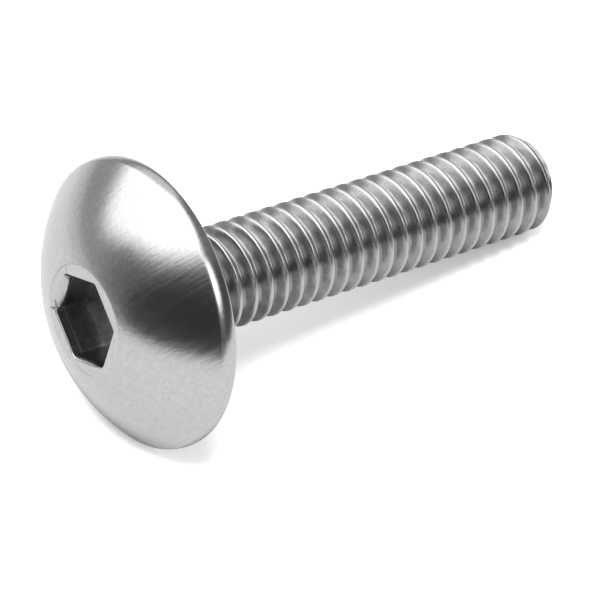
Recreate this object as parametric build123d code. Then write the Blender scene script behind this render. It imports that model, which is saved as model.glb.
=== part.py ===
from build123d import *
from math import asin, atan2, ceil, degrees, floor, hypot, radians, sqrt, tan
import os

# A button head screw with a wide domed head, a hexagon socket and a metric thread along its whole shank.
# The screw is built upright in its own frame: the bearing face under the head lies at height 0, the
# shank points up and the head hangs below. It is then laid down as it comes to rest on a table, on the
# rim of its head and the last full crest of its thread, with the origin on the table under its middle.

# Thread: M4 coarse, right-handed
thread_diameter = 3.9          # over the crests
thread_pitch = 0.7
flank_angle = 60               # between the two flanks of one groove
crest_flat = 0.0875            # width of the flat along each crest
root_flat = 0.139              # width of the flat along the bottom of the groove
crest_cover = 0.28             # how far inside the neck the first crest starts
ridge_sink = 0.05              # how far the ridge is rooted below the bottom of the groove

# Shank
shank_length = 18.0            # from the bearing face to the end of the point
neck_length = 1.2              # the plain length under the head
neck_step = 0.04               # how far the neck stands out past the crests
neck_fillet = 0.2
runout_length = 0.7            # the cone on which the thread fades into the neck
point_length = 0.7             # the tapered end
point_inset = 0.04             # how far the flat end stays inside the bottom of the groove

# Head
head_diameter = 10.74
rim_height = 0.65              # the edge of the head with its two roundings
rim_top_round = 0.08
rim_bottom_round = 0.15
dome_height = 2.355            # of the full dome above the rim
crown_diameter = 4.04          # the flat on the dome around the socket

# Hexagon socket for a 3 mm key
socket_across_flats = 3.03
socket_depth = 1.3             # along the six walls
socket_cone_depth = 0.25       # the dished bottom below them
socket_edge_break = 0.04
socket_turn = 8.6              # a corner of the hexagon, turned from the side that the screw rests on

quarter_turn = 90              # lays the axis of the upright screw level
seam_turn = 2.465              # keeps the seam of the turned faces off the line that the screw rests on

thread_radius = thread_diameter / 2
flank_slope = tan(radians(flank_angle / 2))
thread_depth = (thread_pitch - crest_flat - root_flat) / 2 / flank_slope
root_radius = thread_radius - thread_depth
neck_radius = thread_radius + neck_step
point_radius = root_radius - point_inset
thread_start = neck_length - crest_cover
thread_turns = ceil((shank_length - thread_start) / thread_pitch + 1)

head_radius = head_diameter / 2
crown_radius = crown_diameter / 2
dome_radius = (head_radius**2 + dome_height**2) / (2 * dome_height)
dome_centre = dome_radius - dome_height - rim_height
crown_height = sqrt(dome_radius**2 - crown_radius**2) - dome_centre


def at(radius, height):
    """A point of the turned section."""
    return Vector(radius, 0, height)


def turned(*points):
    """The solid turned about the screw's axis from a closed outline of straight lines."""
    return revolve(make_face(Polyline(*points, close=True)), Axis.Z)


def blank():
    """The head, the neck and the core of the thread as one turned piece."""
    arc_radius = (crown_radius + head_radius) / 2
    arc_middle = at(arc_radius, dome_centre - sqrt(dome_radius**2 - arc_radius**2))
    crown_edge = at(crown_radius, -crown_height)
    rim_top = at(head_radius, -rim_height)
    rim_bottom = at(head_radius, 0)
    neck_corner = at(neck_radius, 0)
    dome = ThreePointArc(crown_edge, arc_middle, rim_top)
    rest = Polyline(
        rim_top,
        rim_bottom,
        neck_corner,
        at(neck_radius, neck_length),
        at(root_radius, neck_length + runout_length),
        at(root_radius, shank_length),
        at(0, shank_length),
        at(0, -crown_height),
        crown_edge,
    )
    face = make_face([dome, rest])
    rounded = ((rim_top, rim_top_round), (rim_bottom, rim_bottom_round), (neck_corner, neck_fillet))
    for corner, radius in rounded:
        nearest = face.vertices().sort_by_distance(corner)[0]
        face = fillet(nearest, radius)
    return revolve(face, Axis.Z)


def ridge():
    """The ridge of the thread, turn by turn, from inside the neck to beyond the point."""
    base_radius = root_radius - ridge_sink
    half_crest = crest_flat / 2
    half_base = half_crest + (thread_radius - base_radius) * flank_slope
    section = Polyline(
        at(thread_radius, thread_start - half_crest),
        at(thread_radius, thread_start + half_crest),
        at(base_radius, thread_start + half_base),
        at(base_radius, thread_start - half_base),
        close=True,
    )
    path = Helix(thread_pitch, thread_pitch, thread_radius, center=(0, 0, thread_start))
    turn = sweep(make_face(section), path=path, is_frenet=True)
    return [Pos(0, 0, step * thread_pitch) * turn for step in range(thread_turns)]


def beyond_the_point():
    """What is cut away around and past the tapered end."""
    taper = (thread_radius - point_radius) / point_length
    outside = thread_radius + thread_pitch
    taper_foot = shank_length - (outside - point_radius) / taper
    far = thread_start + (thread_turns + 1) * thread_pitch
    return turned(
        at(0, shank_length),
        at(point_radius, shank_length),
        at(outside, taper_foot),
        at(outside, far),
        at(0, far),
    )


def hexagon(height, corner_radius):
    """The outline of the socket at one height."""
    return Plane.XY.offset(height) * RegularPolygon(corner_radius, 6, rotation=socket_turn)


def socket():
    """The hexagon for the key, with its edge broken and its bottom dished."""
    corner_radius = socket_across_flats / sqrt(3)
    walls = extrude(hexagon(-crown_height, corner_radius), socket_depth)
    mouth = hexagon(-crown_height, corner_radius + socket_edge_break)
    edge = hexagon(socket_edge_break - crown_height, corner_radius)
    edge_break = loft([mouth.face(), edge.face()])
    dish_foot = socket_depth - crown_height
    dish = turned(
        at(0, dish_foot),
        at(socket_across_flats / 2, dish_foot),
        at(0, dish_foot + socket_cone_depth),
    )
    return walls + edge_break + dish


def resting_tilt():
    """How far the shank dips, in degrees, when the rim's lower edge and the thread touch one plane."""
    half_crest = crest_flat / 2
    full_turns = floor((shank_length - point_length - half_crest - thread_start) / thread_pitch)
    last_crest = thread_start + full_turns * thread_pitch + half_crest
    along = last_crest + rim_bottom_round
    across = head_radius - rim_bottom_round - thread_radius
    reach = hypot(along, across)
    return degrees(atan2(across, along) + asin(rim_bottom_round / reach))


def lying(upright):
    """Lay the upright screw on the plane z = 0 with its shank towards +X and its origin under its middle."""
    tilted = Rotation(0, quarter_turn + resting_tilt(), 0) * upright
    box = tilted.bounding_box()
    return Pos(-box.center().X, 0, -box.min.Z) * tilted


upright_blank = Rotation(0, 0, seam_turn) * blank()
upright_screw = upright_blank + ridge() - beyond_the_point() - socket()
screw = lying(upright_screw)

os.makedirs("parts", exist_ok=True)
export_step(screw, "parts/screw.step")
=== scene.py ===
import bpy
import bmesh
from functools import partial
from math import atan2, cos, pi, radians, sin, sqrt, tan
from mathutils import Matrix, Vector


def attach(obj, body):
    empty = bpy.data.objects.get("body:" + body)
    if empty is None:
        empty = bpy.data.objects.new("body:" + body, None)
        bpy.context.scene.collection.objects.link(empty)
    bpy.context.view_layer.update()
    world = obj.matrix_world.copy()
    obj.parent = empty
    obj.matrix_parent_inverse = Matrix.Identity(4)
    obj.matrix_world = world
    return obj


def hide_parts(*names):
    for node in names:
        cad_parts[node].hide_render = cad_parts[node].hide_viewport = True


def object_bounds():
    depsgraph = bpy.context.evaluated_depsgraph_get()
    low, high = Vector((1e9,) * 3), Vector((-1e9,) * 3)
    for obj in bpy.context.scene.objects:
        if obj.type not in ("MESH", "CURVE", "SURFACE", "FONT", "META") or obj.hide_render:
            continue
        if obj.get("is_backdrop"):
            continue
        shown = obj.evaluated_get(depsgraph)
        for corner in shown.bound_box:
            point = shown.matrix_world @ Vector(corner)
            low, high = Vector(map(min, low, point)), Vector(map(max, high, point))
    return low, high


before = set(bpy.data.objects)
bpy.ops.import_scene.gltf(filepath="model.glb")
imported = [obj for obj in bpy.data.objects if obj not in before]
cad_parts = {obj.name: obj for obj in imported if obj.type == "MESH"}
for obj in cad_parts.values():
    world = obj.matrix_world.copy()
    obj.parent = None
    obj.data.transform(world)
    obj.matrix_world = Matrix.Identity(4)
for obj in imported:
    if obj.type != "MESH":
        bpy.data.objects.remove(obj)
cad_low, cad_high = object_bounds()


# ---- The blank: head, socket, neck and shank ----
# One piece of stainless wire, cold-headed: a die forms the dome and the rim, a punch the hexagon socket.
# The shank is left as a plain rod with a tapered point, ready for its thread.

MM = 0.001

head_radius = (cad_high.y - cad_low.y) / 2
rim_bulge = 0.82 * MM             # radius of the rim's rounded side
rim_upper_lean = radians(22)      # the rim's side leans in this far where it meets the dome
rim_lower_lean = radians(15)      # and this far where its lower edge begins
rim_edge_height = 0.62 * MM
rim_bottom_height = 0.10 * MM
dome_height = 2.385 * MM
crown_radius = 2.02 * MM
crown_round = 0.3 * MM

socket_flat = 3.03 * MM / 2       # from the middle to each wall
socket_depth = 1.3 * MM           # along the walls
socket_cone = 0.25 * MM           # the bottom is dished this much deeper
socket_corner = 0.14 * MM
socket_lead = 0.34 * MM           # the walls flare a little over this depth
socket_flare = 0.035 * MM
socket_edge = 0.04 * MM           # the mouth's edge is rounded
socket_turn = radians(8.6)        # a corner of the hexagon, from the side that the screw rests on

worn_depth = 0.45 * MM            # two sides of the mouth are rubbed away, this deep
worn_reach = 0.15 * MM            # and this far out in the middle of the first side
second_worn_share = 0.6           # of that on the second side
nick_angle = socket_turn + 1.1    # a nick from one corner of the socket, where the punch slipped
nick_spread = radians(3)
nick_depth = 0.07 * MM

neck_length = 1.2 * MM
neck_radius = 1.99 * MM
neck_fillet = 0.2 * MM
shank_length = 18.0 * MM
point_radius = 1.5 * MM
point_round = 0.08 * MM

pitch = 0.7 * MM
first_crest = 0.92 * MM

half_ridge = (0.0, 0.03, 0.05, 0.07, 0.11, 0.17, 0.23, 0.28, 0.31)   # the mesh's rows beside a crest, in mm
columns_per_side = 24             # of the mesh, round one sixth of the screw
turns_below = 2                   # extra turns of rows at both ends of the shank, cut level there
turns_above = 1
bottom_shares = (0.02, 0.35, 0.7, 1.0)   # the mesh's rings over the socket's bottom
wall_rows = 6                     # and its rows along each stretch of the rest
lead_rows = 4
edge_rows = 3
nick_rows = 7                     # from the socket's mouth to the crown's edge
crown_rows = 4
dome_rows = 56
rim_rows = 12
rim_bottom_rows = 7
seat_rows = 6
fillet_rows = 6
neck_rows = 4
point_edge_shares = (0.3, 1.0)    # rings over the rounded edge of the point
end_face_shares = (0.7, 0.4, 0.02)
row_slack = 0.002 * MM            # a row this near the end lies on it
weld = 0.00002 * MM               # points nearer than this are one

edge_radius = head_radius - rim_bulge * (1 - cos(rim_upper_lean))
dome_radius = (edge_radius**2 + dome_height**2) / (2 * dome_height)
dome_centre = dome_radius - dome_height - rim_edge_height
crown = sqrt(dome_radius**2 - crown_radius**2) - dome_centre
sixth = pi / 3


def corner_spread():
    """Half the angle that the rounded corner of the socket takes, seen from the axis."""
    reach = (socket_flat - socket_corner) / cos(sixth / 2)
    return atan2(socket_corner * sin(sixth / 2), reach + socket_corner * cos(sixth / 2))


def station_angles():
    """The angles of the mesh's columns: a fine step across each rounded corner, an even one between."""
    spread = corner_spread()
    even = columns_per_side - 4   # four steps fall to the rounded corners
    offsets = [0, spread / 2]
    offsets += [spread + (sixth - 2 * spread) * step / even for step in range(even + 1)]
    offsets.append(sixth - spread / 2)
    return [socket_turn + side * sixth + offset for side in range(6) for offset in offsets]


def hexagon_reach(angle, grown=0.0):
    """How far the socket's wall is from the axis in one direction."""
    off_corner = (angle - socket_turn + sixth / 2) % sixth - sixth / 2
    flat = socket_flat + grown
    corner = socket_corner + grown
    if abs(off_corner) > corner_spread():
        return flat / cos(sixth / 2 - abs(off_corner))
    middle = (flat - corner) / cos(sixth / 2)
    return middle * cos(off_corner) + sqrt(corner**2 - (middle * sin(off_corner)) ** 2)


def arc(centre_radius, centre_height, radius, start, end, steps):
    """Points (radius, height) of an arc in the turned section, from one angle to another."""
    turns = [start + (end - start) * step / steps for step in range(steps + 1)]
    return [(centre_radius + radius * cos(turn), centre_height + radius * sin(turn)) for turn in turns]


def straight(start, end, steps):
    """Points of a straight stretch of the turned section, without its first."""
    shares = [step / steps for step in range(1, steps + 1)]
    return [(start[0] + (end[0] - start[0]) * s, start[1] + (end[1] - start[1]) * s) for s in shares]


def outer_section():
    """The turned section from the crown's edge over the dome, rim, bearing face and neck."""
    crown_centre = crown_round - crown
    crown_middle = sqrt((dome_radius - crown_round) ** 2 - (dome_centre - crown_centre) ** 2)
    crown_lean = atan2(crown_middle, dome_centre - crown_centre)
    edge_lean = atan2(edge_radius, dome_centre + rim_edge_height)
    down = -pi / 2
    points = arc(crown_middle, crown_centre, crown_round, down, down + crown_lean, crown_rows)
    points += arc(0, dome_centre, dome_radius, down + crown_lean, down + edge_lean, dome_rows)[1:]
    rim_centre = rim_bulge * sin(rim_upper_lean) - rim_edge_height
    rim_middle = head_radius - rim_bulge
    points += arc(rim_middle, rim_centre, rim_bulge, -rim_upper_lean, rim_lower_lean, rim_rows)[1:]
    lower_round = rim_bottom_height / (1 - sin(rim_lower_lean))
    reach = points[-1][0] - lower_round * cos(rim_lower_lean)
    points += arc(reach, -lower_round, lower_round, rim_lower_lean, pi / 2, rim_bottom_rows)[1:]
    points += straight(points[-1], (neck_radius + neck_fillet, 0), seat_rows)
    points += arc(neck_radius + neck_fillet, neck_fillet, neck_fillet, -pi / 2, -pi, fillet_rows)[1:]
    points += straight(points[-1], (neck_radius, neck_length), neck_rows)
    return points


def worn_away(angle, depth):
    """How far the mouth of the socket is rubbed away at one angle and depth."""
    left = max(0.0, 1 - depth / worn_depth) ** 2
    side = ((angle - socket_turn) / sixth) % 6
    if 1 < side < 2:
        return worn_reach * left * sin(pi * (side - 1)) ** 0.5
    if side > 5:
        return second_worn_share * worn_reach * left * sin(pi * (side - 5)) ** 0.5
    return 0.0


def head_rings(angles):
    """Rings of points from the middle of the socket's bottom to the end of the neck."""
    floor = socket_depth - crown
    dish = [(socket_flat * share, floor + socket_cone * (1 - share)) for share in bottom_shares]
    rings = [[(radius, height)] * len(angles) for radius, height in dish]
    lead = socket_lead - crown
    depths = [floor - (floor - lead) * row / wall_rows for row in range(wall_rows + 1)]
    rings += [[(hexagon_reach(angle), depth) for angle in angles] for depth in depths]

    flares = []
    for row in range(1, lead_rows + 1):
        height = lead - (socket_lead - socket_edge) * row / lead_rows
        flares.append((socket_flare * row / lead_rows, height))
    for row in range(1, edge_rows + 1):
        turn = pi / 2 * row / edge_rows
        grown = socket_flare + socket_edge * (1 - cos(turn))
        flares.append((grown, socket_edge * (1 - sin(turn)) - crown))
    for grown, height in flares:
        reaches = [hexagon_reach(angle, grown + worn_away(angle, crown + height)) for angle in angles]
        rings.append([(reach, height) for reach in reaches])

    section = outer_section()
    mouth = [reach for reach, _ in rings[-1]]
    for row in range(1, nick_rows):
        share = row / nick_rows
        gap = (1 - share) * nick_depth
        sunk = [gap * max(0.0, 1 - abs(angle - nick_angle) / nick_spread) for angle in angles]
        out = [reach + (section[0][0] - reach) * share for reach in mouth]
        rings.append([(reach, drop - crown) for reach, drop in zip(out, sunk)])
    rings += [[point] * len(angles) for point in section]
    return rings


def shank_rows(angles):
    """Rows of points that climb the shank as the thread does, cut level at the neck and the point."""
    beside = [offset * MM for offset in half_ridge]
    steps = beside + [pitch / 2] + [pitch - offset for offset in reversed(beside[1:])]
    turns = round((shank_length - first_crest) / pitch) + turns_below + turns_above
    starts = [(turn - turns_below) * pitch + step for turn in range(turns) for step in steps]
    rows = []
    for start in starts:
        heights = [first_crest + start + pitch * angle / (2 * pi) for angle in angles]
        levels = [min(max(height, neck_length), shank_length) for height in heights]
        at_end = [level > shank_length - row_slack for level in levels]
        radii = [point_radius if end else neck_radius for end in at_end]
        rows.append(list(zip(radii, levels)))
    return rows


def point_rings(angles):
    """Rings of points over the flat end of the point."""
    radii = [point_radius - point_round * share for share in point_edge_shares]
    radii += [point_radius * share for share in end_face_shares]
    return [[(radius, shank_length)] * len(angles) for radius in radii]


def blank_mesh():
    """The whole blank as one closed mesh, upright: axis along Z, bearing face at height 0, shank up."""
    angles = station_angles()
    head = head_rings(angles)
    shank = shank_rows(angles)
    rings = head + shank + point_rings(angles)
    columns = len(angles)
    points = []
    for ring in rings:
        for angle, (radius, height) in zip(angles, ring):
            points.append((radius * cos(angle), radius * sin(angle), height))
    rows_per_turn = 2 * len(half_ridge)
    first_row = len(head)
    last_row = len(head) + len(shank) - 1

    def corner(ring, column):
        if column < columns:
            return ring * columns + column
        if first_row <= ring <= last_row:
            ring = min(ring + rows_per_turn, last_row)
        return ring * columns

    faces = []
    for ring in range(len(rings) - 1):
        for column in range(columns):
            low = (corner(ring, column), corner(ring, column + 1))
            high = (corner(ring + 1, column + 1), corner(ring + 1, column))
            faces.append(low + high)
    last = (len(rings) - 1) * columns
    faces.append(tuple(reversed(range(columns))))
    faces.append(tuple(range(last, last + columns)))
    mesh = bpy.data.meshes.new("screw")
    mesh.from_pydata(points, [], faces)
    work = bmesh.new()
    work.from_mesh(mesh)
    bmesh.ops.remove_doubles(work, verts=work.verts, dist=weld)
    bmesh.ops.recalc_face_normals(work, faces=work.faces)
    work.to_mesh(mesh)
    work.free()
    return mesh


screw = bpy.data.objects.new("button_head_screw", blank_mesh())
bpy.context.scene.collection.objects.link(screw)


# ---- The thread ----
# Rolled cold between two dies, so the metal of the shank flows out into the crests. It is a right-handed
# M4 x 0.7 thread, which fades out on a cone at the neck and is cut back by the tapered point.

crest_radius = 1.95 * MM
thread_depth = 0.41 * MM
flank_slope = tan(radians(30))    # half the angle between two flanks
crest_flat = 0.0875 * MM
crest_round = 0.085 * MM
root_round = 0.17 * MM
crest_wear = 0.03 * MM            # the crests are this uneven, in patches
wear_scale = 1.6 / MM
runout_length = 0.7 * MM
point_length = 0.7 * MM
level_slack = 0.001 * MM          # the flat end and the neck stay as they are
sharp_turn = radians(35)          # edges that turn more than this stay crisp


def add(tree, kind, inputs=(), **settings):
    """A new node of a tree, with its settings made and its inputs set or linked."""
    node = tree.nodes.new(kind)
    for name, value in settings.items():
        setattr(node, name, value)
    for place, value in dict(inputs).items():
        if isinstance(value, bpy.types.NodeSocket):
            tree.links.new(value, node.inputs[place])
        else:
            node.inputs[place].default_value = value
    return node


def reckon(tree, operation, *values):
    """One step of arithmetic in a tree."""
    return add(tree, "ShaderNodeMath", enumerate(values), operation=operation).outputs[0]


def thread_tree():
    """Geometry nodes that roll the thread into a plain shank which stands on the Z axis."""
    tree = bpy.data.node_groups.new("Rolled thread", "GeometryNodeTree")
    tree.interface.new_socket("Geometry", in_out="INPUT", socket_type="NodeSocketGeometry")
    lengths = (
        "Crest Radius", "Thread Depth", "Pitch", "Crest Flat", "First Crest", "Neck Radius", "Neck Length",
        "Runout Length", "Shank Length", "Point Length", "Point Radius", "Crest Round", "Root Round",
        "Crest Wear", "Wear Scale",
    )
    for name in lengths:
        tree.interface.new_socket(name, in_out="INPUT", socket_type="NodeSocketFloat")
    tree.interface.new_socket("Flank Slope", in_out="INPUT", socket_type="NodeSocketFloat")
    tree.interface.new_socket("Material", in_out="INPUT", socket_type="NodeSocketMaterial")
    tree.interface.new_socket("Geometry", in_out="OUTPUT", socket_type="NodeSocketGeometry")
    given = tree.nodes.new("NodeGroupInput").outputs
    done = tree.nodes.new("NodeGroupOutput").inputs
    calculate = partial(reckon, tree)
    where = tree.nodes.new("GeometryNodeInputPosition").outputs[0]
    across, sideways, height = add(tree, "ShaderNodeSeparateXYZ", {0: where}).outputs
    uneven = add(tree, "ShaderNodeTexNoise", {"Vector": where, "Scale": given["Wear Scale"], "Detail": 2.0})
    worn = calculate("MULTIPLY", given["Crest Wear"], uneven.outputs[0])
    angle = calculate("ARCTAN2", sideways, across)
    turns = calculate("DIVIDE", angle, 2 * pi)
    climbed = calculate("DIVIDE", calculate("SUBTRACT", height, given["First Crest"]), given["Pitch"])
    phase = calculate("FRACT", calculate("ADD", calculate("SUBTRACT", climbed, turns), 0.5))
    off_crest = calculate("ABSOLUTE", calculate("SUBTRACT", phase, 0.5))
    from_crest = calculate("MULTIPLY", off_crest, given["Pitch"])
    past_flat = calculate("SUBTRACT", from_crest, calculate("DIVIDE", given["Crest Flat"], 2.0))
    flank = calculate("DIVIDE", past_flat, given["Flank Slope"])
    sunk = calculate("SMOOTH_MAX", flank, 0.0, given["Crest Round"])
    sunk = calculate("SMOOTH_MIN", sunk, given["Thread Depth"], given["Root Round"])
    sunk = calculate("SMOOTH_MAX", sunk, worn, given["Crest Round"])
    ridge = calculate("SUBTRACT", given["Crest Radius"], sunk)

    root = calculate("SUBTRACT", given["Crest Radius"], given["Thread Depth"])
    run = calculate("DIVIDE", calculate("SUBTRACT", height, given["Neck Length"]), given["Runout Length"])
    drop = calculate("MULTIPLY", run, calculate("SUBTRACT", given["Neck Radius"], root))
    cone = calculate("SUBTRACT", given["Neck Radius"], drop)
    outside = calculate("SMOOTH_MAX", ridge, cone, given["Crest Round"])

    left = calculate("DIVIDE", calculate("SUBTRACT", given["Shank Length"], height), given["Point Length"])
    bend = calculate("MULTIPLY", left, calculate("SUBTRACT", 2.0, calculate("MINIMUM", left, 1.0)))
    rise = calculate("MULTIPLY", bend, calculate("SUBTRACT", given["Crest Radius"], given["Point Radius"]))
    taper = calculate("ADD", given["Point Radius"], rise)
    radius = calculate("SMOOTH_MIN", outside, taper, given["Crest Round"])

    place = tree.nodes.new("ShaderNodeCombineXYZ")
    tree.links.new(calculate("MULTIPLY", radius, calculate("COSINE", angle)), place.inputs["X"])
    tree.links.new(calculate("MULTIPLY", radius, calculate("SINE", angle)), place.inputs["Y"])
    tree.links.new(height, place.inputs["Z"])
    above_neck = calculate("GREATER_THAN", height, calculate("ADD", given["Neck Length"], level_slack))
    off_end = calculate("LESS_THAN", height, calculate("SUBTRACT", given["Shank Length"], level_slack))
    rolled = tree.nodes.new("GeometryNodeSetPosition")
    tree.links.new(given["Geometry"], rolled.inputs["Geometry"])
    tree.links.new(calculate("MULTIPLY", above_neck, off_end), rolled.inputs["Selection"])
    tree.links.new(place.outputs[0], rolled.inputs["Position"])
    real = tree.nodes.new("GeometryNodeRealizeInstances")
    coated = tree.nodes.new("GeometryNodeSetMaterial")
    tree.links.new(rolled.outputs[0], real.inputs[0])
    tree.links.new(real.outputs[0], coated.inputs["Geometry"])
    tree.links.new(given["Material"], coated.inputs["Material"])
    tree.links.new(coated.outputs[0], done["Geometry"])
    return tree


rolled_steel = bpy.data.materials.new("rolled_steel")
rolling = screw.modifiers.new("Rolled thread", "NODES")
rolling.node_group = thread_tree()
settings = {
    "Crest Radius": crest_radius,
    "Thread Depth": thread_depth,
    "Pitch": pitch,
    "Crest Flat": crest_flat,
    "First Crest": first_crest,
    "Neck Radius": neck_radius,
    "Neck Length": neck_length,
    "Runout Length": runout_length,
    "Shank Length": shank_length,
    "Point Length": point_length,
    "Point Radius": point_radius,
    "Crest Round": crest_round,
    "Root Round": root_round,
    "Crest Wear": crest_wear,
    "Wear Scale": wear_scale,
    "Flank Slope": flank_slope,
    "Material": rolled_steel,
}
for item in rolling.node_group.interface.items_tree:
    if item.in_out == "INPUT" and item.name in settings:
        rolling[item.identifier] = settings[item.name]

evaluated = screw.evaluated_get(bpy.context.evaluated_depsgraph_get())
threaded = bpy.data.meshes.new_from_object(evaluated)
screw.modifiers.remove(rolling)
screw.data = threaded
screw.data.shade_smooth()
screw.data.set_sharp_from_angle(angle=sharp_turn)


# ---- Lying at rest ----
# The screw can't stand on its domed head. It lies on the rim of the head and the last full crest of its
# thread, with the shank dipping towards +X, where the frame has it.

resting_dip = radians(11.2465)
screw.data.transform(Matrix.Rotation(pi / 2 + resting_dip, 4, "Y"))
low = Vector(min(v.co[axis] for v in screw.data.vertices) for axis in range(3))
high = Vector(max(v.co[axis] for v in screw.data.vertices) for axis in range(3))
shift = Vector(((cad_low.x + cad_high.x - low.x - high.x) / 2, 0, cad_low.z - low.z))
screw.data.transform(Matrix.Translation(shift))


# ---- The finish ----
# Bare stainless steel. The head is barrelled to a soft shine with fine lines across it. The thread is as
# the dies left it, with duller flanks, but its crests and the land beside them carry painted highlights
# and its roots painted shade. The punched socket is painted dark as shade, with painted light at its
# mouth and a painted highlight where its walls begin to flare.


def new_effect(name, inputs, outputs):
    """An empty node group with its named sockets, its input's sockets and its output's."""
    group = bpy.data.node_groups.new(name, "ShaderNodeTree")
    for label, kind in inputs.items():
        group.interface.new_socket(label, in_out="INPUT", socket_type="NodeSocket" + kind)
    for label, kind in outputs.items():
        group.interface.new_socket(label, in_out="OUTPUT", socket_type="NodeSocket" + kind)
    return group, group.nodes.new("NodeGroupInput").outputs, group.nodes.new("NodeGroupOutput").inputs


def use(tree, group, inputs=()):
    """The outputs of a node group placed in a tree."""
    return add(tree, "ShaderNodeGroup", inputs, node_tree=group).outputs


def fade(tree, value, start, end):
    """From 0 to 1 as a value goes from start to end."""
    limits = {"Value": value, "From Min": start, "From Max": end}
    return add(tree, "ShaderNodeMapRange", limits, interpolation_type="SMOOTHSTEP").outputs[0]


def blend(tree, share, first, second):
    """A number between two others."""
    return add(tree, "ShaderNodeMix", {"Factor": share, "A": first, "B": second}).outputs[0]


def upright_place():
    """Where a point is on the upright screw, in millimetres, and how many turns round its axis."""
    outputs = {"Point": "Vector", "Radius": "Float", "Height": "Float", "Turns": "Float"}
    group, _, done = new_effect("Upright place", {}, outputs)
    calculate = partial(reckon, group)
    back = -(pi / 2 + resting_dip)
    place = Matrix.Rotation(back, 3, "Y") @ (-shift) / MM
    here = group.nodes.new("ShaderNodeTexCoord").outputs["Object"]
    steps = {"Vector": here, "Location": place, "Rotation": (0, back, 0), "Scale": (1 / MM, 1 / MM, 1 / MM)}
    point = add(group, "ShaderNodeMapping", steps).outputs[0]
    across, sideways, height = add(group, "ShaderNodeSeparateXYZ", {0: point}).outputs
    squares = calculate("ADD", calculate("POWER", across, 2.0), calculate("POWER", sideways, 2.0))
    group.links.new(point, done["Point"])
    group.links.new(calculate("SQRT", squares), done["Radius"])
    group.links.new(height, done["Height"])
    group.links.new(calculate("DIVIDE", calculate("ARCTAN2", sideways, across), 2 * pi), done["Turns"])
    return group


def steel_grain():
    """Fine grain over soft blotches, from 0 to 1."""
    inputs = {"Point": "Vector", "Blotch Scale": "Float"}
    group, given, done = new_effect("Steel grain", inputs, {"Grain": "Float"})
    layers = []
    for scale, detail in ((16.0, 2.0), (given["Blotch Scale"], 3.0)):
        steps = {"Vector": given["Point"], "Scale": scale, "Detail": detail}
        layers.append(add(group, "ShaderNodeTexNoise", steps).outputs[0])
    group.links.new(blend(group, 0.5, *layers), done["Grain"])
    return group


def drawn_lines():
    """Fine lines along the X axis of the given point, from 0 to 1, some of them long and faint."""
    inputs = {"Point": "Vector", "Lines": "Float"}
    group, given, done = new_effect("Drawn lines", inputs, {"Lines": "Float"})
    layers = []
    for length, share in ((14.0, 1.0), (30.0, 0.35)):
        drawn = add(group, "ShaderNodeMapping", {"Vector": given["Point"], "Scale": (1 / length, 1, 1)})
        scale = reckon(group, "MULTIPLY", given["Lines"], share)
        steps = {"Vector": drawn.outputs[0], "Scale": scale, "Detail": 3.0, "Roughness": 0.6}
        layers.append(add(group, "ShaderNodeTexNoise", steps).outputs[0])
    group.links.new(blend(group, 0.5, *layers), done["Lines"])
    return group


def scribed_line():
    """A thin line between two points of the face round the socket: 1 on it, 0 beside it."""
    inputs = {"Point": "Vector", "Start": "Vector", "End": "Vector", "Half Width": "Float"}
    group, given, done = new_effect("Scribed line", inputs, {"Line": "Float"})

    def step(operation, *values):
        return add(group, "ShaderNodeVectorMath", enumerate(values), operation=operation).outputs

    flat = step("MULTIPLY", given["Point"], (1, 1, 0))["Vector"]
    along = step("SUBTRACT", given["End"], given["Start"])["Vector"]
    off = step("SUBTRACT", flat, given["Start"])["Vector"]
    shares = [step("DOT_PRODUCT", way, along)["Value"] for way in (off, along)]
    share = add(group, "ShaderNodeClamp", {"Value": reckon(group, "DIVIDE", *shares)}).outputs[0]
    foot = add(group, "ShaderNodeVectorMath", {0: along, "Scale": share}, operation="SCALE").outputs["Vector"]
    gap = step("LENGTH", step("SUBTRACT", off, foot)["Vector"])["Value"]
    group.links.new(fade(group, gap, given["Half Width"], 0.0), done["Line"])
    return group


upright = upright_place()
grain = steel_grain()
lines = drawn_lines()
scribed = scribed_line()


def dress(material, shade, gloss, relief, depth):
    """Drive a steel surface's grey, its roughness and a bump of one depth."""
    tree = material.node_tree
    shader = tree.nodes["Principled BSDF"]
    shader.inputs["Metallic"].default_value = 1.0
    colour = add(tree, "ShaderNodeCombineColor", {"Red": shade, "Green": shade, "Blue": shade}).outputs[0]
    tree.links.new(colour, shader.inputs["Base Color"])
    tree.links.new(gloss, shader.inputs["Roughness"])
    bump = add(tree, "ShaderNodeBump", {"Strength": 1.0, "Distance": depth, "Height": relief})
    tree.links.new(bump.outputs[0], shader.inputs["Normal"])


head_shades = (0.5, 0.6)          # greys of the grain, 0 black and 1 white
head_gloss = (0.12, 0.28)         # roughness across the fine lines
head_relief = 0.006 * MM
head_lines = 9.0                  # how fine the lines are, per mm
line_way = (0.781, -0.369, 0.502)   # the way that they run, as the screw lies
head_blotches = 6.0               # how fine the blotches are, per mm
blotch_edges = (0.3, 0.7)         # the grain is dark below the first and light above the second
grain_relief = 0.1                # beside the relief of the lines
mark_shade = 0.06
mark_strength = 0.65
mark_relief = 0.4
ring_radius = 2.06                # a ring that the punch left round the socket, in mm
ring_edges = (0.03, 0.008)
ring_strengths = (                # share of a turn, and how strongly the ring shows there
    (0.42, 0), (0.45, 0.9), (0.5, 0.8), (0.52, 0.1), (0.58, 0.5), (0.66, 0.5), (0.7, 0.2),
    (0.72, 0.8), (0.84, 0.9), (0.9, 0.45), (0.95, 0),
)
scratches = (                     # radius and angle of both ends, and half the width, in mm
    (1.66, nick_angle, 2.08, nick_angle - 0.04, 0.05),
    (1.77, nick_angle, 1.76, nick_angle + 0.17, 0.05),
    (1.74, nick_angle + sixth, 2.06, nick_angle + sixth + 0.07, 0.025),
)
marked_heights = (-2.55, -2.62)   # marks lie above these, in mm


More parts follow.
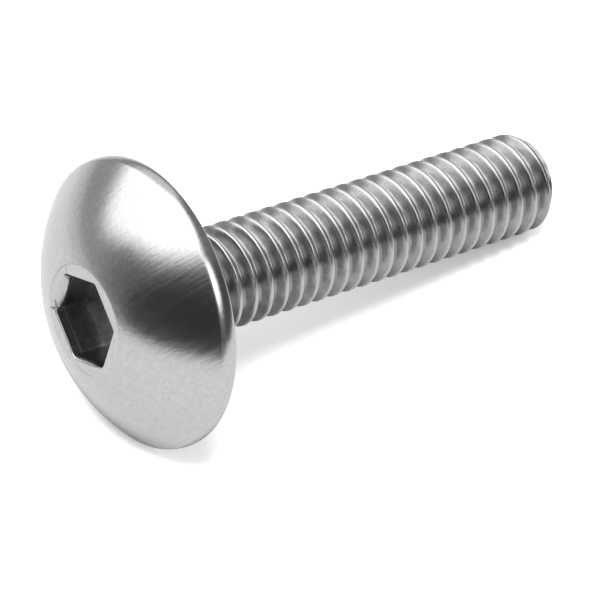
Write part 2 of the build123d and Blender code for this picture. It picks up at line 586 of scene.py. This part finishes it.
def polished_head(material):
    """The head: an even soft shine, crossed by fine lines, with marks of the punch round the socket."""
    material.use_nodes = True
    tree = material.node_tree
    calculate = partial(reckon, tree)
    place = use(tree, upright)
    point = place["Point"]
    way = (Matrix.Rotation(-(pi / 2 + resting_dip), 3, "Y") @ Vector(line_way)).normalized()
    turn = way.to_track_quat("X", "Z").inverted().to_euler()
    laid = add(tree, "ShaderNodeMapping", {"Vector": point, "Rotation": turn}).outputs[0]
    drawn = use(tree, lines, {"Point": laid, "Lines": head_lines})[0]
    rough = use(tree, grain, {"Point": point, "Blotch Scale": head_blotches})[0]

    off_ring = calculate("ABSOLUTE", calculate("SUBTRACT", place["Radius"], ring_radius))
    seen = tree.nodes.new("ShaderNodeValToRGB")
    for stop, (turn_share, level) in enumerate(ring_strengths):
        mark = seen.color_ramp.elements[stop] if stop < 2 else seen.color_ramp.elements.new(turn_share)
        mark.position = turn_share
        mark.color = (level, level, level, 1)
    tree.links.new(calculate("ADD", place["Turns"], 0.5), seen.inputs[0])
    marks = calculate("MULTIPLY", fade(tree, off_ring, *ring_edges), seen.outputs["Color"])
    for start, start_angle, end, end_angle, width in scratches:
        ends = {
            "Point": point,
            "Start": (start * cos(start_angle), start * sin(start_angle), 0),
            "End": (end * cos(end_angle), end * sin(end_angle), 0),
            "Half Width": width,
        }
        marks = calculate("MAXIMUM", marks, use(tree, scribed, ends)[0])
    marks = calculate("MULTIPLY", marks, fade(tree, place["Height"], *marked_heights))

    shade = blend(tree, fade(tree, rough, *blotch_edges), *head_shades)
    shade = blend(tree, calculate("MULTIPLY", marks, mark_strength), shade, mark_shade)
    gloss = blend(tree, drawn, *head_gloss)
    relief = calculate("ADD", calculate("MULTIPLY", rough, grain_relief), drawn)
    relief = calculate("SUBTRACT", relief, calculate("MULTIPLY", marks, mark_relief))
    dress(material, shade, gloss, relief, head_relief)


flank_shades = (0.32, 0.39)
flank_gloss = (0.2, 0.3)
flank_blotches = 1.8              # per mm
flank_patches = 2.4
patch_edges = (0.35, 0.65)
painted_flank_light = 0.4                  # painted light beside each crest, on the flank towards the head
painted_flank_light_place = -0.11                # places and edges are in mm from the crest, along the screw
painted_flank_light_edges = (0.13, 0.07)
# Painted shade in the roots of the thread, where they lie deepest.
painted_root_shade = 0.15
painted_root_shade_strength = 0.3
painted_root_shade_edges = (0.22, 0.34)
# The crests are painted lighter than the flanks: a painted highlight.
painted_crest_highlight = 0.52
crest_gloss = 0.28
painted_crest_highlight_edges = (0.1, 0.05)
seam_shade = 0.12                 # a thin dark seam, where the rolled metal closes over the crest
seam_strength = 0.7
seam_place = 0.075
seam_edges = (0.035, 0.01)
blotch_swing = (0.85, 1.15)       # blotches darken and lighten all but the painted crest highlights, the painted shade in the roots and the seam
stripe_sway = 0.08                # how unevenly the stripes run
side_edges = (0.01, 0.05)         # stripes stop short of the flat end by this, in mm
point_edges = (0.3, 1.1)          # and the painted highlights on the crests fade out over this stretch
thread_lines = 5.0
line_stretch = 4
blotch_relief = 0.8               # beside the relief of the lines
thread_relief = 0.002 * MM


def rolled_thread(material):
    """The thread: painted highlights on the crests and beside them, duller blotchy flanks with lines round
    them, painted shade in the roots.
    """
    material.use_nodes = True
    tree = material.node_tree
    calculate = partial(reckon, tree)
    place = use(tree, upright)
    point = place["Point"]
    rough = use(tree, grain, {"Point": point, "Blotch Scale": flank_blotches})[0]
    laid = add(tree, "ShaderNodeMapping", {"Vector": point, "Rotation": (0, pi / 2, 0)}).outputs[0]
    stretched = add(tree, "ShaderNodeMapping", {"Vector": laid, "Scale": (line_stretch, 1, 1)}).outputs[0]
    steps = {"Vector": stretched, "Scale": thread_lines, "Detail": 3.0}
    drawn = add(tree, "ShaderNodeTexNoise", steps).outputs[0]
    steps = {"Vector": point, "Scale": flank_patches, "Detail": 2.0}
    patches = add(tree, "ShaderNodeTexNoise", steps).outputs[0]

    climbed = calculate("DIVIDE", calculate("SUBTRACT", place["Height"], first_crest / MM), pitch / MM)
    phase = calculate("FRACT", calculate("ADD", calculate("SUBTRACT", climbed, place["Turns"]), 0.5))
    past = calculate("MULTIPLY", calculate("SUBTRACT", phase, 0.5), pitch / MM)
    uneven = calculate("MULTIPLY", calculate("SUBTRACT", drawn, 0.5), stripe_sway)
    from_end = calculate("SUBTRACT", shank_length / MM, place["Height"])
    on_side = fade(tree, from_end, *side_edges)
    off_point = fade(tree, from_end, *point_edges)

    def stripe(middle, edges, sway=0.0):
        """A stripe that follows the thread, with its middle this far from the crest along the screw."""
        off = calculate("ABSOLUTE", calculate("SUBTRACT", past, middle))
        return fade(tree, calculate("ADD", off, sway), *edges)

    # Painted highlight along the crests, which also sets their roughness.
    crest_highlight_mask = calculate("MULTIPLY", stripe(0.0, painted_crest_highlight_edges, uneven), off_point)
    seam = calculate("MULTIPLY", stripe(seam_place, seam_edges), on_side)
    # Painted shade deep in the thread's roots.
    root = calculate("MULTIPLY", stripe(0.0, painted_root_shade_edges), on_side)
    # Painted light on the flank beside each crest.
    painted_flank_light_mask = calculate("MULTIPLY", stripe(painted_flank_light_place, painted_flank_light_edges, uneven), on_side)

    shade = blend(tree, fade(tree, patches, *patch_edges), *flank_shades)
    shade = blend(tree, painted_flank_light_mask, shade, painted_flank_light)
    dark, light = (calculate("MULTIPLY", shade, swing) for swing in blotch_swing)
    shade = blend(tree, fade(tree, rough, *blotch_edges), dark, light)
    shade = blend(tree, calculate("MULTIPLY", root, painted_root_shade_strength), shade, painted_root_shade)
    shade = blend(tree, crest_highlight_mask, shade, painted_crest_highlight)
    shade = blend(tree, calculate("MULTIPLY", seam, seam_strength), shade, seam_shade)
    gloss = blend(tree, crest_highlight_mask, blend(tree, patches, *flank_gloss), crest_gloss)
    relief = calculate("ADD", drawn, calculate("MULTIPLY", rough, blotch_relief))
    dress(material, shade, gloss, relief, thread_relief)


painted_socket_shades = (0.2, 0.32)         # painted shade over the socket's walls and bottom, from darkest to lightest
painted_socket_shade_blotches = 2.2               # per mm
painted_socket_shade_edges = (0.35, 0.7)
wall_lines = 7.0                  # per mm
# Lighter lines down the socket's walls, where less shade is painted.
light_wall_line_shade = 0.3
light_wall_line_edges = (0.55, 0.75)
# Painted light on the socket's walls near the mouth, fading with depth.
painted_mouth_light = 0.45
painted_mouth_light_strength = 0.5
painted_mouth_light_depths = (0.4, 0.02)        # in mm
painted_lip_highlight = 0.5                   # a painted highlight: a bright line where the walls begin to flare
painted_lip_highlight_strength = 0.75
painted_lip_highlight_depth = 0.36
painted_lip_highlight_edges = (0.07, 0.01)
socket_gloss = (0.2, 0.4)
socket_relief = 0.008 * MM


def punched_socket(material):
    """The socket: painted dark as shade, lighter in faint lines down its walls, with painted light near the
    mouth and a painted highlight where the walls flare.
    """
    material.use_nodes = True
    tree = material.node_tree
    calculate = partial(reckon, tree)
    place = use(tree, upright)
    point = place["Point"]
    laid = add(tree, "ShaderNodeMapping", {"Vector": point, "Rotation": (0, pi / 2, 0)}).outputs[0]
    drawn = use(tree, lines, {"Point": laid, "Lines": wall_lines})[0]
    rough = use(tree, grain, {"Point": point, "Blotch Scale": painted_socket_shade_blotches})[0]
    depth = calculate("ADD", place["Height"], crown / MM)
    # Painted light on the walls near the mouth.
    mouth = fade(tree, depth, *painted_mouth_light_depths)
    # Painted highlight where the walls begin to flare.
    painted_lip_highlight_mask = fade(tree, calculate("ABSOLUTE", calculate("SUBTRACT", depth, painted_lip_highlight_depth)), *painted_lip_highlight_edges)

    # Painted shade over the socket, lighter in lines down its walls.
    painted_socket_shade = blend(tree, fade(tree, rough, *painted_socket_shade_edges), *painted_socket_shades)
    painted_socket_shade = blend(tree, fade(tree, drawn, *light_wall_line_edges), painted_socket_shade, light_wall_line_shade)
    shade = blend(tree, calculate("MULTIPLY", mouth, painted_mouth_light_strength), painted_socket_shade, painted_mouth_light)
    shade = blend(tree, calculate("MULTIPLY", painted_lip_highlight_mask, painted_lip_highlight_strength), shade, painted_lip_highlight)
    gloss = blend(tree, drawn, *socket_gloss)
    dress(material, shade, gloss, calculate("ADD", drawn, rough), socket_relief)


head_steel = bpy.data.materials.new("polished_steel")
socket_steel = bpy.data.materials.new("socket_steel_painted_shade")
polished_head(head_steel)
rolled_thread(rolled_steel)
punched_socket(socket_steel)
screw.data.materials.append(head_steel)
screw.data.materials.append(socket_steel)
head_slot = 1                     # slot 0 is the thread's
socket_slot = 2
head_end = 0.1 * MM               # the thread's finish begins just under the bearing face
wall_slack = 0.3 * socket_edge
mouth_slack = 0.2 * socket_edge
upright_again = Matrix.Rotation(-(pi / 2 + resting_dip), 4, "Y") @ Matrix.Translation(-shift)
for face in screw.data.polygons:
    centre = upright_again @ face.center
    reach = hexagon_reach(atan2(centre.y, centre.x))
    in_hexagon = centre.xy.length < reach + wall_slack
    under_mouth = mouth_slack - crown < centre.z < 0
    if in_hexagon and under_mouth:
        face.material_index = socket_slot
    elif centre.z < head_end:
        face.material_index = head_slot

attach(screw, "root")
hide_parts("screw")


# ---- Floor, light and camera ----
# A sheet of overexposed white paper under a soft lamp, in a pale room. The lamp and the room's even light
# fall on the paper; polished metal sees the room's own bright ceiling, windows and darker corners.

floor_half = 0.6
paper_roughness = 0.9
paper_glow = 0.18                 # seen from the camera
paper_white = 1.0
mirrored_white = 0.46             # seen in polished metal
mirrored_reach = (0.035, 0.06)    # past this, metal sees the room and no paper
key_azimuth = -140
key_elevation = 72
key_distance = 0.3
key_size = 0.16
key_energy = 1.3
even_light = 1.0
dim_room = 0.3
room_patches = (                  # azimuth, elevation, radius and softness in degrees, and brightness
    (115, 0, 50, 25, 0.5),
    (0, -90, 88, 3, 1.0),
    (-165, 20, 42, 18, 0.2),
    (-153, 3, 30, 13, 0.035),
    (-98, -6, 17, 7, 0.12),
    (-175, 3, 14, 6, 0.05),
    (-48, 4, 32, 10, 0.1),
    (115, 70, 45, 9, 3.0),
    (131, 32, 12, 9, 2.4),
    (-82, 40, 18, 6, 2.8),
    (48, 34, 18, 8, 1.2),
)
head_seat = Vector((-7.443, 0, 5.241)) * MM   # the middle of the bearing face
looking = Vector((0.4432, 0.5869, -0.6776)).normalized()
aim_right = 5.465                 # mm from the head's seat to the middle of the picture
aim_up = 0.028
camera_distance = 139.07          # mm
camera_lens = 234.96
camera_sensor = 36
camera_clips = (0.01, 10)


def white_paper():
    """Overexposed white paper. Far off, polished metal sees the room past its edge instead."""
    paper = bpy.data.materials.new("white_paper")
    paper.use_nodes = True
    tree = paper.node_tree
    sheet = tree.nodes["Principled BSDF"]
    sheet.inputs["Roughness"].default_value = paper_roughness
    sheet.inputs["Emission Color"].default_value = (1, 1, 1, 1)
    path = tree.nodes.new("ShaderNodeLightPath").outputs
    glow = reckon(tree, "MULTIPLY", path["Is Camera Ray"], paper_glow)
    tree.links.new(glow, sheet.inputs["Emission Strength"])
    white = blend(tree, path["Is Camera Ray"], mirrored_white, paper_white)
    tree.links.new(white, sheet.inputs["Base Color"])
    here = tree.nodes.new("ShaderNodeTexCoord").outputs["Object"]
    far = add(tree, "ShaderNodeVectorMath", {0: here}, operation="LENGTH").outputs["Value"]
    past = reckon(tree, "MULTIPLY", fade(tree, far, *mirrored_reach), path["Is Glossy Ray"])
    clear = tree.nodes.new("ShaderNodeBsdfTransparent").outputs[0]
    mixed = add(tree, "ShaderNodeMixShader", {0: past, 1: sheet.outputs[0], 2: clear}).outputs[0]
    tree.links.new(mixed, tree.nodes["Material Output"].inputs["Surface"])
    return paper


floor_mesh = bpy.data.meshes.new("floor")
floor_corners = [(x * floor_half, y * floor_half, 0) for x, y in ((-1, -1), (1, -1), (1, 1), (-1, 1))]
floor_mesh.from_pydata(floor_corners, [], [(0, 1, 2, 3)])
floor_mesh.materials.append(white_paper())
floor = bpy.data.objects.new("floor", floor_mesh)
bpy.context.scene.collection.objects.link(floor)
floor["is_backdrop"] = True


def towards(azimuth, elevation):
    """The direction at an azimuth and elevation, given in degrees."""
    turn = radians(azimuth)
    rise = radians(elevation)
    return Vector((cos(turn) * cos(rise), sin(turn) * cos(rise), sin(rise)))


key_light = bpy.data.lights.new("key", "AREA")
key_light.shape = "DISK"
key_light.size = key_size
key_light.energy = key_energy
key = bpy.data.objects.new("key", key_light)
key.location = towards(key_azimuth, key_elevation) * key_distance
key.rotation_euler = towards(key_azimuth, key_elevation).to_track_quat("Z", "Y").to_euler()
key.visible_glossy = False
bpy.context.scene.collection.objects.link(key)


def studio_world():
    """Soft white light all round; in polished metal it shows as a bright ceiling above a darker room."""
    world = bpy.data.worlds.new("studio")
    world.use_nodes = True
    tree = world.node_tree
    where = tree.nodes.new("ShaderNodeTexCoord").outputs["Generated"]
    room = dim_room
    for azimuth, elevation, radius, softness, level in room_patches:
        ways = {0: where, 1: towards(azimuth, elevation)}
        near = add(tree, "ShaderNodeVectorMath", ways, operation="DOT_PRODUCT").outputs["Value"]
        edges = (cos(radians(radius + softness)), cos(radians(radius - softness)))
        room = blend(tree, fade(tree, near, *edges), room, level)
    seen = add(tree, "ShaderNodeBackground", {"Strength": room}).outputs[0]
    soft = tree.nodes["Background"]
    soft.inputs["Color"].default_value = (1, 1, 1, 1)
    soft.inputs["Strength"].default_value = even_light
    ray = tree.nodes.new("ShaderNodeLightPath").outputs["Is Glossy Ray"]
    both = add(tree, "ShaderNodeMixShader", {0: ray, 1: soft.outputs[0], 2: seen}).outputs[0]
    tree.links.new(both, tree.nodes["World Output"].inputs["Surface"])
    return world


bpy.context.scene.world = studio_world()

camera_data = bpy.data.cameras.new("camera")
camera_data.lens = camera_lens
camera_data.sensor_width = camera_sensor
camera_data.clip_start, camera_data.clip_end = camera_clips
camera = bpy.data.objects.new("camera", camera_data)
bpy.context.scene.collection.objects.link(camera)
right = looking.cross(Vector((0, 0, 1))).normalized()
aim = head_seat + right * aim_right * MM + right.cross(looking) * aim_up * MM
camera.location = aim - looking * camera_distance * MM
camera.rotation_euler = (-looking).to_track_quat("Z", "Y").to_euler()
bpy.context.scene.camera = camera
bpy.context.scene.view_settings.view_transform = "Standard"


low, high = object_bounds()
